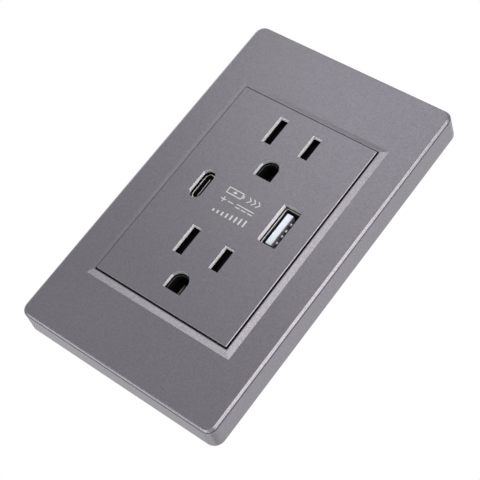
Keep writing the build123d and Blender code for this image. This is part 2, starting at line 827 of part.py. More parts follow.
# Transformer: three-legged core with the coil round its middle leg
core_x = core_inset - power_board_half
core_level = power_board_high - core_drop
core_mid = power_board_front + core_height / 2
core_window = (core_width - 2 * core_leg - core_middle) / 2
window_height = core_height - 2 * core_yoke
with BuildPart() as transformer_core:
    with BuildSketch(Plane.XY.offset(core_level)):
        with Locations((core_x, -core_mid)):
            Rectangle(core_width, core_height)
            with GridLocations(core_middle + core_window, 0, 2, 1):
                Rectangle(core_window, window_height, mode=Mode.SUBTRACT)
    extrude(amount=core_depth / 2, both=True)
pieces["transformer_core"] = transformer_core

with BuildPart() as transformer_coil:
    coil_width = core_middle + 2 * core_window - 2 * coil_gap
    with BuildSketch(level(core_mid - window_height / 2 + coil_gap)):
        with Locations((core_x, core_level)):
            RectangleRounded(coil_width, coil_length, core_window / 2)
            Rectangle(core_middle + 2 * coil_gap, core_depth + 2 * coil_gap, mode=Mode.SUBTRACT)
    extrude(amount=window_height - 2 * coil_gap)
pieces["transformer_coil"] = transformer_coil

# Smoothing capacitors
input_can_place = (power_board_half - input_can_inset, power_board_high - input_can_drop)
output_can_place = (power_board_half - output_can_inset, power_board_low + output_can_rise)
cans = {
    "input_capacitor": (input_can_place, input_can_radius, input_can_height),
    "output_capacitor": (output_can_place, output_can_radius, output_can_height),
}
for name, (can_place, can_radius, can_height) in cans.items():
    with BuildPart() as can:
        with BuildSketch(level(power_board_front)):
            with Locations(can_place):
                Circle(can_radius)
        extrude(amount=can_height)
    pieces[name] = can

# Rectifier, control chip with its leads, and block fuse
bridge_place = (power_board_half - bridge_inset, power_board_low + bridge_rise)
with BuildPart() as bridge_rectifier:
    with BuildSketch(level(power_board_front)):
        with Locations(bridge_place):
            Rectangle(bridge_width, bridge_height)
    extrude(amount=bridge_thickness)
    chamfer(bridge_rectifier.faces().sort_by(Axis.Y)[0].edges(), block_edge)
pieces["bridge_rectifier"] = bridge_rectifier

chip_place = (chip_inset - power_board_half, power_board_low + chip_rise)
with BuildPart() as controller_chip:
    with BuildSketch(level(power_board_front + chip_standoff)):
        with Locations(chip_place):
            Rectangle(chip_width, chip_length)
    extrude(amount=chip_thickness)
    with BuildSketch(level(power_board_front)):
        with Locations(chip_place):
            with GridLocations(0, chip_lead_pitch, 1, chip_lead_count):
                Rectangle(chip_width + 2 * chip_lead_reach, chip_lead_width)
    extrude(amount=chip_lead_thickness)
pieces["controller_chip"] = controller_chip

fuse_place = (fuse_inset - power_board_half, power_board_low + fuse_rise)
with BuildPart() as fuse:
    with BuildSketch(level(power_board_front)):
        with Locations(fuse_place):
            Rectangle(fuse_length, fuse_width)
    extrude(amount=fuse_height)
    chamfer(fuse.faces().sort_by(Axis.Y)[0].edges(), block_edge)
pieces["fuse"] = fuse

for name, piece in pieces.items():
    piece.part.label = name
    export_step(piece.part, f"parts/{name}.step")
print(len(pieces), "pieces written")
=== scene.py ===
import math
import bmesh
import bpy
from mathutils import Matrix, Vector


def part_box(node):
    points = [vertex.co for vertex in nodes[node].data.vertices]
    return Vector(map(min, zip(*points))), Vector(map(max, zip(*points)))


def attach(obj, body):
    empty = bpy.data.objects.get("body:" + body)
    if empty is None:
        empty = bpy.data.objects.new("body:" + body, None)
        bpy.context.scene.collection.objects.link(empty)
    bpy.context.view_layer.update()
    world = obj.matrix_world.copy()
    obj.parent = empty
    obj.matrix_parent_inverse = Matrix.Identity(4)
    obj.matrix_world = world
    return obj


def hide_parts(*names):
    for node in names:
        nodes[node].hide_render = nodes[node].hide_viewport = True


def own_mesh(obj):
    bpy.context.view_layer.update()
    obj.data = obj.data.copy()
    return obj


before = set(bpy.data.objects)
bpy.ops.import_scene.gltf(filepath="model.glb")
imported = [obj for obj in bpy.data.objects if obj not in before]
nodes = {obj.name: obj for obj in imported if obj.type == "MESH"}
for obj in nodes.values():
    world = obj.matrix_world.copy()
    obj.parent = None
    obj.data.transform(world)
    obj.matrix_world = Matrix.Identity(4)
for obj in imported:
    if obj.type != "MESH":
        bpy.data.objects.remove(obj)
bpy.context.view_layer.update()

mm = 0.001
scene = bpy.context.scene
print("frame loaded with", len(nodes), "nodes")


# a socket that adds Math nodes when it is used in an expression
class Wire:
    def __init__(self, tree, socket):
        self.tree = tree
        self.socket = socket

    def join(self, operation, first, second):
        node = self.tree.nodes.new("ShaderNodeMath")
        node.operation = operation
        plug(self.tree, node.inputs[0], first)
        plug(self.tree, node.inputs[1], second)
        return Wire(self.tree, node.outputs[0])

    def __add__(self, other):
        return self.join("ADD", self, other)

    def __radd__(self, other):
        return self.join("ADD", other, self)

    def __sub__(self, other):
        return self.join("SUBTRACT", self, other)

    def __rsub__(self, other):
        return self.join("SUBTRACT", other, self)

    def __mul__(self, other):
        return self.join("MULTIPLY", self, other)

    def __rmul__(self, other):
        return self.join("MULTIPLY", other, self)

    def __truediv__(self, other):
        return self.join("DIVIDE", self, other)

    def __rtruediv__(self, other):
        return self.join("DIVIDE", other, self)

    def __gt__(self, other):
        return self.join("GREATER_THAN", self, other)

    def __lt__(self, other):
        return self.join("LESS_THAN", self, other)

    def __or__(self, other):
        return self.join("MAXIMUM", self, other)

    def __ror__(self, other):
        return self.join("MAXIMUM", other, self)

    # a value from 0 to 1 as a swing about zero
    def swing(self, amount):
        return (self - 0.5) * amount


def plug(tree, pin, value):
    if isinstance(value, Wire):
        tree.links.new(value.socket, pin)
    elif pin.type == "RGBA" and len(value) == 3:
        pin.default_value = (*value, 1.0)
    else:
        pin.default_value = value


# a tree with one method that makes any node in it
class Tree:
    def __init__(self, tree):
        self.tree = tree

    def node(self, kind, settings, sockets, output=0):
        made = self.tree.nodes.new(kind)
        for key, value in settings.items():
            setattr(made, key, value)
        for key, value in sockets.items():
            plug(self.tree, made.inputs[key], value)
        return Wire(self.tree, made.outputs[output]) if made.outputs else None


# the tree of one material or of the world
class Finish(Tree):
    def __init__(self, owner):
        owner.use_nodes = True
        super().__init__(owner.node_tree)
        self.owner = owner
        self.tree.nodes.clear()

    def place(self, stretch=None):
        spot = self.node("ShaderNodeTexCoord", {}, {}, "Object")
        return self.node("ShaderNodeMapping", {}, {"Vector": spot, "Scale": stretch}) if stretch else spot

    def axis(self, name):
        return self.node("ShaderNodeSeparateXYZ", {}, {"Vector": self.place()}, name)

    def noise(self, spot, scale, detail=2.0):
        return self.node("ShaderNodeTexNoise", {}, {"Vector": spot, "Scale": scale, "Detail": detail})

    def wave(self, direction, spot, scale, wander=0.0):
        return self.node(
            "ShaderNodeTexWave", {"bands_direction": direction},
            {"Vector": spot, "Scale": scale, "Distortion": wander}, "Fac")

    def clamped(self, value):
        return self.node("ShaderNodeClamp", {}, {"Value": value})

    def tinted(self, colour, tone):
        return self.node("ShaderNodeVectorMath", {"operation": "SCALE"}, {0: colour, "Scale": tone})

    # sockets 6 and 7 and output 2 of a Mix node are its colours
    def blended(self, share, first, second):
        return self.node("ShaderNodeMix", {"data_type": "RGBA"}, {0: share, 6: first, 7: second}, 2)

    def bump(self, height, strength, depth):
        return self.node("ShaderNodeBump", {}, {"Height": height, "Strength": strength, "Distance": depth})

    def shade(self, sockets):
        shader = self.node("ShaderNodeBsdfPrincipled", {}, sockets)
        self.node("ShaderNodeOutputMaterial", {}, {"Surface": shader})
        return self.owner


def newFinish(name):
    return Finish(bpy.data.materials.new(name))


# satin grey paint with fine metal flake
flakePaint = {
    "colour": (0.148, 0.140, 0.160),
    "flakeScale": 4200.0,
    "flakeTone": 0.25,
    "metalShare": 0.94,
    "flakeMetal": 0.1,
    "rough": 0.35,
    "flakeRough": -0.03,
    "sheen": 0.3,
    "cloudScale": 70.0,
    "cloudTone": 0.05,
    "grainScale": 3600.0,
    "grain": 0.08,
    "grainDepth": 0.02 * mm,
}


def makePaint(name):
    finish = newFinish(name)
    spot = finish.place()
    flakes = finish.node(
        "ShaderNodeTexVoronoi", {}, {"Vector": spot, "Scale": flakePaint["flakeScale"]}, "Color")
    spark = finish.node("ShaderNodeSeparateColor", {}, {"Color": flakes}, "Red")
    cloud = finish.noise(spot, flakePaint["cloudScale"])
    grain = finish.noise(spot, flakePaint["grainScale"])
    tone = 1 + spark.swing(flakePaint["flakeTone"]) + cloud.swing(flakePaint["cloudTone"])
    return finish.shade({
        "Base Color": finish.tinted(flakePaint["colour"], tone),
        "Metallic": flakePaint["metalShare"] + spark.swing(flakePaint["flakeMetal"]),
        "Roughness": flakePaint["rough"] + spark.swing(flakePaint["flakeRough"]),
        "Specular IOR Level": flakePaint["sheen"],
        "Normal": finish.bump(grain, flakePaint["grain"], flakePaint["grainDepth"]),
    })


# what all moulded plastics share
mould = {
    "cloudScale": 120.0,
    "cloudTone": 0.14,
    "cloudRough": 0.12,
    "grainTone": 0.16,
    "grainDepth": 0.03 * mm,
    "sheen": 0.5,
}
# each plastic's colour and roughness, how fine and deep the mould's grain is, and a lower sheen if it has one
plastics = {
    "paleCore": {"colour": (0.62, 0.605, 0.64), "rough": 0.5, "grain": 2200.0, "depth": 0.1},
    # a darker copy of paleCore: painted shade for opening walls that face up or down
    "paintedShadeCore": {"colour": (0.28, 0.275, 0.29), "rough": 0.4, "grain": 2200.0, "depth": 0.1},
    "blackNylon": {
        "colour": (0.006, 0.006, 0.0065), "rough": 0.5, "grain": 1800.0, "depth": 0.2, "sheen": 0.12},
    # a lighter nylon for the carrier's eased rims: painted highlight
    "paintedGlintNylon": {"colour": (0.13, 0.13, 0.135), "rough": 0.4, "grain": 1800.0, "depth": 0.1},
    "housingPlastic": {"colour": (0.022, 0.022, 0.024), "rough": 0.52, "grain": 2600.0, "depth": 0.5},
    "shutterPlastic": {
        "colour": (0.006, 0.006, 0.0065), "rough": 0.4, "grain": 900.0, "depth": 0.08, "sheen": 0.15},
    "tongueWhite": {"colour": (0.72, 0.755, 0.86), "rough": 0.4, "grain": 900.0, "depth": 0.08},
    # darker copy of the tongue's plastic: painted shade on its contact side
    "paintedShadeBed": {"colour": (0.30, 0.30, 0.34), "rough": 0.5, "grain": 900.0, "depth": 0.08},
    "tongueBlack": {
        "colour": (0.008, 0.008, 0.0085), "rough": 0.35, "grain": 900.0, "depth": 0.08, "sheen": 0.15},
    "chipEpoxy": {"colour": (0.012, 0.012, 0.013), "rough": 0.55, "grain": 3000.0, "depth": 0.4},
    "sheetFilm": {"colour": (0.62, 0.59, 0.45), "rough": 0.3, "grain": 400.0, "depth": 0.1},
    "coreFerrite": {"colour": (0.03, 0.03, 0.033), "rough": 0.62, "grain": 2400.0, "depth": 0.7},
    "printInk": {"colour": (0.50, 0.49, 0.49), "rough": 0.5, "grain": 4200.0, "depth": 0.1},
}


def makePlastic(name):
    plastic = plastics[name]
    finish = newFinish(name)
    spot = finish.place()
    grain = finish.noise(spot, plastic["grain"])
    cloud = finish.noise(spot, mould["cloudScale"])
    tone = 1 + grain.swing(mould["grainTone"]) + cloud.swing(mould["cloudTone"])
    return finish.shade({
        "Base Color": finish.tinted(plastic["colour"], tone),
        "Roughness": plastic["rough"] + cloud.swing(mould["cloudRough"]),
        "Specular IOR Level": plastic.get("sheen", mould["sheen"]),
        "Normal": finish.bump(grain, plastic["depth"], mould["grainDepth"]),
    })


# what all rolled metals share
rolled = {
    "lineScale": 5200.0,
    "lineTone": 0.25,
    "line": 0.12,
    "lineDepth": 0.02 * mm,
    "stainScale": 380.0,
    "stainTone": 0.3,
    "stainRough": 0.2,
    "detail": 3.0,
    "tone": 0.94,
}
# each metal's colour and roughness, and the direction that its rolling lines run in
metals = {
    "springSteel": {"colour": (0.42, 0.42, 0.43), "rough": 0.3, "lines": (1, 1, 0.08)},
    "contactBrass": {"colour": (0.66, 0.47, 0.17), "rough": 0.28, "lines": (1, 0.08, 1)},
    "contactTin": {"colour": (0.60, 0.58, 0.57), "rough": 0.35, "lines": (1, 0.08, 1)},
    # a brighter copy of contactTin: painted glint on the contact tips and the clip's lips
    "paintedGlintTin": {"colour": (0.90, 0.88, 0.86), "rough": 0.45, "lines": (1, 0.08, 1)},
    "contactGold": {"colour": (0.78, 0.56, 0.20), "rough": 0.22, "lines": (1, 0.1, 1)},
}


def rollingLines(finish, direction):
    return finish.noise(finish.place(direction), rolled["lineScale"], rolled["detail"])


def makeMetal(name):
    metal = metals[name]
    finish = newFinish(name)
    lines = rollingLines(finish, metal["lines"])
    stain = finish.noise(finish.place(), rolled["stainScale"], rolled["detail"])
    tone = rolled["tone"] + lines.swing(rolled["lineTone"]) + stain.swing(rolled["stainTone"])
    return finish.shade({
        "Base Color": finish.tinted(metal["colour"], tone),
        "Metallic": 1.0,
        "Roughness": metal["rough"] + stain.swing(rolled["stainRough"]),
        "Normal": finish.bump(lines, rolled["line"], rolled["lineDepth"]),
    })


# nickel shells of the ports, bright at the mouth and darkened inside by painted shade, and rougher there
shellNickel = {
    "colour": (0.62, 0.61, 0.60),
    "paintedShade": (0.07, 0.07, 0.072),
    "lines": (1, 0.08, 1),
    "mouth": -8.15 * mm,
    "fade": 0.5 * mm,
    "tone": 0.88,
    "lineTone": 0.24,
    "rough": 0.24,
    "dullRough": 0.25,
}


def makeShell(name):
    finish = newFinish(name)
    lines = rollingLines(finish, shellNickel["lines"])
    # painted shade: the colour fades from the nickel to a near black over fade, inward from the mouth
    depth = finish.clamped((finish.axis("Y") - shellNickel["mouth"]) / shellNickel["fade"])
    colour = finish.blended(depth, shellNickel["colour"], shellNickel["paintedShade"])
    return finish.shade({
        "Base Color": finish.tinted(colour, shellNickel["tone"] + lines * shellNickel["lineTone"]),
        "Metallic": 1.0,
        "Roughness": shellNickel["rough"] + depth * shellNickel["dullRough"],
        "Normal": finish.bump(lines, rolled["line"], rolled["lineDepth"]),
    })


# zinc plate; where terminals are told apart, the line screw is brass and the ground screw green
screwPlate = {
    "zinc": (0.56, 0.57, 0.58),
    "brass": (0.66, 0.47, 0.17),
    "green": (0.06, 0.26, 0.09),
    "side": 6 * mm,
    "stainScale": 420.0,
    "stainTone": 0.35,
    "stainRough": 0.25,
    "stain": 0.1,
    "stainDepth": 0.03 * mm,
    "detail": 3.0,
    "tone": 0.95,
    "rough": 0.3,
}


def makeScrewPlate(name, told):
    finish = newFinish(name)
    stain = finish.noise(finish.place(), screwPlate["stainScale"], screwPlate["detail"])
    tone = screwPlate["tone"] + stain.swing(screwPlate["stainTone"])
    colour = finish.tinted(screwPlate["zinc"], tone)
    if told:
        along = finish.axis("X")
        onRight = along > screwPlate["side"]
        onLeft = along < -screwPlate["side"]
        colour = finish.blended(onRight, colour, finish.tinted(screwPlate["brass"], tone))
        colour = finish.blended(1 - (onRight | onLeft), colour, finish.tinted(screwPlate["green"], tone))
    return finish.shade({
        "Base Color": colour,
        "Metallic": 1.0,
        "Roughness": screwPlate["rough"] + stain.swing(screwPlate["stainRough"]),
        "Normal": finish.bump(stain, screwPlate["stain"], screwPlate["stainDepth"]),
    })


# glass epoxy board with copper runs and a weave under the mask
boardLaminate = {
    "mask": (0.006, 0.062, 0.018),
    "copper": (0.018, 0.125, 0.036),
    "runScale": 420.0,
    "runFrom": 0.42,
    "runRough": 0.08,
    "run": 0.3,
    "runDepth": 0.03 * mm,
    "weaveScale": 1500.0,
    "weaveTone": 0.1,
    "tone": 0.9,
    "rough": 0.32,
}


def makeLaminate(name):
    finish = newFinish(name)
    spot = finish.place()
    cells = finish.node(
        "ShaderNodeTexVoronoi", {"distance": "CHEBYCHEV"},
        {"Vector": spot, "Scale": boardLaminate["runScale"]}, "Distance")
    runs = cells > boardLaminate["runFrom"]
    colour = finish.blended(runs, boardLaminate["mask"], boardLaminate["copper"])
    tone = boardLaminate["tone"]
    for direction in ("X", "Z"):
        weave = finish.wave(direction, spot, boardLaminate["weaveScale"])
        tone = tone + weave * boardLaminate["weaveTone"]
    return finish.shade({
        "Base Color": finish.tinted(colour, tone),
        "Roughness": boardLaminate["rough"] + runs * boardLaminate["runRough"],
        "Normal": finish.bump(runs, boardLaminate["run"], boardLaminate["runDepth"]),
    })


# tape wound on the coil
coilTape = {
    "colour": (0.60, 0.36, 0.018),
    "lapScale": 160.0,
    "lapWander": 0.6,
    "lapTone": 0.2,
    "lapRough": 0.15,
    "lap": 0.35,
    "lapDepth": 0.05 * mm,
    "wrinkleScale": 900.0,
    "wrinkleTone": 0.1,
    "wrinkle": 0.3,
    "tone": 0.86,
    "rough": 0.3,
}


def makeTape(name):
    finish = newFinish(name)
    spot = finish.place()
    laps = finish.wave("Y", spot, coilTape["lapScale"], coilTape["lapWander"])
    wrinkle = finish.noise(spot, coilTape["wrinkleScale"])
    tone = coilTape["tone"] + laps * coilTape["lapTone"] + wrinkle.swing(coilTape["wrinkleTone"])
    return finish.shade({
        "Base Color": finish.tinted(coilTape["colour"], tone),
        "Roughness": coilTape["rough"] + laps * coilTape["lapRough"],
        "Normal": finish.bump(laps + wrinkle * coilTape["wrinkle"], coilTape["lap"], coilTape["lapDepth"]),
    })


# ceramic of the fuse
fuseBody = {
    "colour": (0.60, 0.54, 0.40),
    "speckScale": 1600.0,
    "speckTone": 0.3,
    "speckRough": 0.15,
    "speck": 0.2,
    "speckDepth": 0.04 * mm,
    "tone": 0.85,
    "rough": 0.5,
}


def makeFuseBody(name):
    finish = newFinish(name)
    speck = finish.noise(finish.place(), fuseBody["speckScale"])
    return finish.shade({
        "Base Color": finish.tinted(fuseBody["colour"], fuseBody["tone"] + speck * fuseBody["speckTone"]),
        "Roughness": fuseBody["rough"] + speck * fuseBody["speckRough"],
        "Normal": finish.bump(speck, fuseBody["speck"], fuseBody["speckDepth"]),
    })


# sleeve shrunk on a can, with a stripe down its right side
canSleeve = {
    "colour": (0.010, 0.013, 0.028),
    "stripe": (0.55, 0.56, 0.58),
    "stripeFrom": 0.78,
    "shrinkScale": 500.0,
    "shrinkTone": 0.16,
    "shrinkRough": 0.1,
    "shrink": 0.1,
    "shrinkDepth": 0.04 * mm,
    "tone": 0.92,
    "rough": 0.25,
}


def makeSleeve(can):
    low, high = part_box(can)
    finish = newFinish(can + "Sleeve")
    stripe = finish.axis("X") > low.x + (high.x - low.x) * canSleeve["stripeFrom"]
    shrink = finish.noise(finish.place(), canSleeve["shrinkScale"])
    colour = finish.blended(stripe, canSleeve["colour"], canSleeve["stripe"])
    return finish.shade({
        "Base Color": finish.tinted(colour, canSleeve["tone"] + shrink * canSleeve["shrinkTone"]),
        "Roughness": canSleeve["rough"] + shrink * canSleeve["shrinkRough"],
        "Normal": finish.bump(shrink, canSleeve["shrink"], canSleeve["shrinkDepth"]),
    })


finishes = {
    **{name: makePaint(name) for name in ("coverPaint", "panelPaint", "framePaint")},
    **{name: makePlastic(name) for name in plastics},
    **{name: makeMetal(name) for name in metals},
    "shellNickel": makeShell("shellNickel"),
    "screwZinc": makeScrewPlate("screwZinc", False),
    "screwTold": makeScrewPlate("screwTold", True),
    "boardLaminate": makeLaminate("boardLaminate"),
    "coilTape": makeTape("coilTape"),
    "fuseBody": makeFuseBody("fuseBody"),
    **{can: makeSleeve(can) for can in ("input_capacitor", "output_capacitor")},
}
print("finishes made:", len(finishes))

# which finish each CAD piece wears
worn = {
    "upper_shutter": "shutterPlastic",
    "lower_shutter": "shutterPlastic",
    "line_contacts": "contactBrass",
    "neutral_contacts": "contactBrass",
    "terminal_screws": "screwTold",
    "terminal_clamps": "screwZinc",
    "housing_screws": "screwZinc",
    "port_board": "boardLaminate",
    "power_board": "boardLaminate",
    "insulating_sheet": "sheetFilm",
    "usb_a_shell": "shellNickel",
    "usb_c_shell": "shellNickel",
    "usb_a_contacts": "contactTin",
    "usb_c_contacts": "contactGold",
    "board_pins": "contactGold",
    "transformer_core": "coreFerrite",
    "transformer_coil": "coilTape",
    "input_capacitor": "input_capacitor",
    "output_capacitor": "output_capacitor",
    "bridge_rectifier": "chipEpoxy",
    "controller_chip": "chipEpoxy",
    "fuse": "fuseBody",
}
for node, finish in worn.items():
    mesh = nodes[node].data
    mesh.materials.clear()
    mesh.materials.append(finishes[finish])
print("finishes on", len(worn), "CAD pieces")

# how close counts as the same, and how sharp an edge is
fits = {
    "weld": 0.002 * mm,  # points that become one
    "sliver": 0.001 * mm,  # too thin to keep
    "level": 0.01 * mm,  # ends of a level edge
    "height": 0.05 * mm,  # points at a named height
    "flat": math.radians(0.6),  # faces that become one
    "sharp": math.radians(20),  # edges that can be rounded
    "soft": math.radians(24),  # edges that are shaded smooth
}


def newPiece(name, mesh, body, stoodFor=()):
    piece = bpy.data.objects.new(name, mesh)
    scene.collection.objects.link(piece)
    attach(piece, body)
    if stoodFor:
        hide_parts(*stoodFor)
    return piece


def opened(mesh):
    sheet = bmesh.new()
    sheet.from_mesh(mesh)
    return sheet


def mergedCopy(node):
    sheet = opened(nodes[node].data)
    bmesh.ops.remove_doubles(sheet, verts=sheet.verts, dist=fits["weld"])
    bmesh.ops.dissolve_limit(sheet, angle_limit=fits["flat"], verts=sheet.verts, edges=sheet.edges)
    return sheet


def turned(edge):
    return edge.calc_face_angle(0.0)


def near(height, level):
    return abs(height - level) < fits["height"]


# rounds the sharp level edges that are wanted, asked by x, height out of the wall and z;
# coat is the number of the finish that the round gets, or -1 for the one beside it
def roundEdges(sheet, wanted, width, steps, coat=-1):
    sheet.normal_update()
    chosen = []
    for edge in sheet.edges:
        first, second = (vert.co for vert in edge.verts)
        middle = (first + second) / 2
        level = abs(first.y - second.y) < fits["level"]
        if level and turned(edge) > fits["sharp"] and wanted(middle.x, -middle.y, middle.z):
            chosen.append(edge)
    bmesh.ops.bevel(
        sheet, geom=chosen, offset=width, offset_type="OFFSET", segments=steps,
        profile=0.5, affect="EDGES", clamp_overlap=True, material=coat)


# the plain mesh that an object's modifier gives; the object goes
def plainMesh(holder, name):
    made = bpy.data.meshes.new_from_object(holder.evaluated_get(bpy.context.evaluated_depsgraph_get()))
    made.name = name
    holder.modifiers.clear()
    bpy.data.objects.remove(holder)
    return made


def finishedMesh(sheet, name, coats):
    sheet.normal_update()
    for face in sheet.faces:
        face.smooth = True
    for edge in sheet.edges:
        edge.smooth = turned(edge) < fits["soft"]
    mesh = bpy.data.meshes.new(name)
    sheet.to_mesh(mesh)
    sheet.free()
    for coat in coats:
        mesh.materials.append(finishes[coat])
    if "custom_normal" in mesh.attributes:  # the CAD mesh's own normals no longer fit
        mesh.attributes.remove(mesh.attributes["custom_normal"])
    holder = bpy.data.objects.new(name + "Holder", mesh)
    scene.collection.objects.link(holder)
    even = holder.modifiers.new("even", "WEIGHTED_NORMAL")
    even.keep_sharp = True
    return plainMesh(holder, name)


# makes a worked sheet a piece on the socket's body
def finishPiece(sheet, name, coats, stoodFor=()):
    piece = newPiece(name, finishedMesh(sheet, name, coats), "socket", stoodFor)
    print(name + ":", len(piece.data.polygons), "faces")
    return piece


# cover: crest, bevel and land with their edges eased by the paint; the crest is narrower along top and bottom
coverEdges = {
    "face": 8.9 * mm,
    "band": 8.2 * mm,
    "land": 9.7 * mm,
    "rim": 2.0 * mm,
    "cornerRadius": 2.2 * mm,
    "crest": 0.7 * mm,
    "trim": 0.35 * mm,
    "faceEase": 0.2 * mm,
    "bandEase": 0.1 * mm,
    "landEase": 0.07 * mm,
    "steps": 5,
}
sheet = mergedCopy("cover_plate")
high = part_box("cover_plate")[1]
arcStart = high.z - coverEdges["crest"] - coverEdges["cornerRadius"]
for vert in sheet.verts:
    if near(-vert.co.y, coverEdges["face"]) and abs(vert.co.z) > arcStart:
        share = (abs(vert.co.z) - arcStart) / coverEdges["cornerRadius"]
        vert.co.z += math.copysign(coverEdges["trim"] * share, vert.co.z)
rimX, rimZ = high.x - coverEdges["rim"], high.z - coverEdges["rim"]
roundEdges(
    sheet, lambda x, height, z: near(height, coverEdges["face"]) and (abs(x) > rimX or abs(z) > rimZ),
    coverEdges["faceEase"], coverEdges["steps"])
for level in ("band", "land"):
    roundEdges(
        sheet, lambda x, height, z: near(height, coverEdges[level]),
        coverEdges[level + "Ease"], coverEdges["steps"])
finishPiece(sheet, "coverPlate", ["coverPaint"], ["cover_plate"])

# frame: side walls with smooth corners, drawn up so that only a hairline is left under the cover
frameRim = {"seam": 7.9 * mm, "raise": 0.07 * mm}
sheet = mergedCopy("base_frame")
for vert in sheet.verts:
    if near(-vert.co.y, frameRim["seam"]):
        vert.co.y -= frameRim["raise"]
finishPiece(sheet, "sideFrame", ["framePaint"], ["base_frame"])

# panel: painted front, pale plastic in the walls of its openings with a darker copy as painted shade where
# they face up or down, black skirt in the gap round it as painted shade
panelEdges = {
    "from": 10.0 * mm,  # edges above this height are eased
    "ease": 0.08 * mm,
    "steps": 5,
    "flange": 1.6 * mm,  # rim behind the cover
    "wallInset": 1.0 * mm,  # all openings keep this far inside the skirt
    "wall": 0.5,  # a wall's normal leans less than this out of the panel
    "paintedShadeLean": 0.25,  # and more than this up or down, where the wall gets painted shade
    "skin": 1.85 * mm,  # how deep an opening's walls are pale
    "ink": 0.012 * mm,
    "blades": (4.5 * mm, 8.5 * mm),  # how far aside the blade slots begin and end
    "outlets": (27.625 * mm, -15.4 * mm),
    "groundDrop": 11.9 * mm,
    "bladeAside": 6.35 * mm,
    # openings with a shallower skin, and the half sizes of the field that holds each
    "narrowPort": {
        "x": -14.475 * mm, "z": 1.905 * mm, "halfWide": 2.6 * mm, "halfTall": 5.6 * mm, "skin": 1.45 * mm},
    "groundHole": {"halfWide": 3.6 * mm, "halfTall": 3.6 * mm, "skin": 1.35 * mm},
    "bladeSlot": {"halfWide": 2.0 * mm, "halfTall": 6.0 * mm, "skin": 1.57 * mm},
}
panelCoats = ["panelPaint", "paleCore", "blackNylon", "paintedShadeCore"]
low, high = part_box("face_panel")
panelFront = -low.y
openX, openZ = (reach - panelEdges["flange"] - panelEdges["wallInset"] for reach in (high.x, high.z))
shallowMouths = [panelEdges["narrowPort"]]
for level in panelEdges["outlets"]:
    shallowMouths.append({**panelEdges["groundHole"], "x": 0.0, "z": level - panelEdges["groundDrop"]})
    for aside in (-panelEdges["bladeAside"], panelEdges["bladeAside"]):
        shallowMouths.append({**panelEdges["bladeSlot"], "x": aside, "z": level})


def isWall(face):
    return abs(face.normal.y) < panelEdges["wall"]


def within(mouth, spot):
    return abs(spot.x - mouth["x"]) < mouth["halfWide"] and abs(spot.z - mouth["z"]) < mouth["halfTall"]


def wallCoat(face):
    middle = face.calc_center_median()
    skin = next((mouth["skin"] for mouth in shallowMouths if within(mouth, middle)), panelEdges["skin"])
    inside = abs(middle.x) < openX and abs(middle.z) < openZ
    # painted shade: sides outside the openings go black so the gap round the panel reads dark; walls deeper
    # than the pale skin are black nylon too
    if not inside or -middle.y < panelFront - skin:
        return "blackNylon"
    # painted shade: walls that face up or down get a darker copy of the pale plastic, but for the blade slots
    inSlot = panelEdges["blades"][0] < abs(middle.x) < panelEdges["blades"][1]
    return "paintedShadeCore" if abs(face.normal.z) > panelEdges["paintedShadeLean"] and not inSlot else "paleCore"


sheet = mergedCopy("face_panel")
# the front is let back by the ink's thickness, so that the print ends at the face
for vert in sheet.verts:
    if near(-vert.co.y, panelFront):
        vert.co.y += panelEdges["ink"]
for mouth in shallowMouths:
    walls = {face for face in sheet.faces if isWall(face) and within(mouth, face.calc_center_median())}
    edges = {edge for face in walls for edge in face.edges}
    verts = {vert for face in walls for vert in face.verts}
    bmesh.ops.bisect_plane(
        sheet, geom=[*walls, *edges, *verts], dist=fits["sliver"],
        plane_co=(0, mouth["skin"] - panelFront, 0), plane_no=(0, 1, 0))
sheet.normal_update()
for face in sheet.faces:
    if isWall(face):
        face.material_index = panelCoats.index(wallCoat(face))
roundEdges(sheet, lambda x, height, z: height > panelEdges["from"], panelEdges["ease"], panelEdges["steps"])
bmesh.ops.remove_doubles(sheet, verts=sheet.verts, dist=fits["sliver"])
bmesh.ops.dissolve_degenerate(sheet, dist=fits["sliver"], edges=sheet.edges)
finishPiece(sheet, "facePanel", panelCoats, ["face_panel"])

# carrier behind the panel, with eased rims round its ground holes in a lighter nylon, a painted highlight
carrierEdges = {"reach": 4.0 * mm, "ease": 0.18 * mm, "steps": 4}
sheet = mergedCopy("contact_carrier")
carrierFront = -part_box("contact_carrier")[0].y
roundEdges(
    sheet, lambda x, height, z: near(height, carrierFront) and abs(x) < carrierEdges["reach"],
    carrierEdges["ease"], carrierEdges["steps"], coat=1)
finishPiece(sheet, "contactCarrier", ["blackNylon", "paintedGlintNylon"], ["contact_carrier"])

# ground strap, with the lower clip's lips rounded and the rounds in brighter tin as a painted glint
groundLips = {"ease": 0.2 * mm, "steps": 5}
sheet = mergedCopy("ground_strap")
lipFront = -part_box("ground_strap")[0].y
roundEdges(
    sheet, lambda x, height, z: near(height, lipFront) and z < 0,
    groundLips["ease"], groundLips["steps"], coat=1)
finishPiece(sheet, "groundStrap", ["contactTin", "paintedGlintTin"], ["ground_strap"])

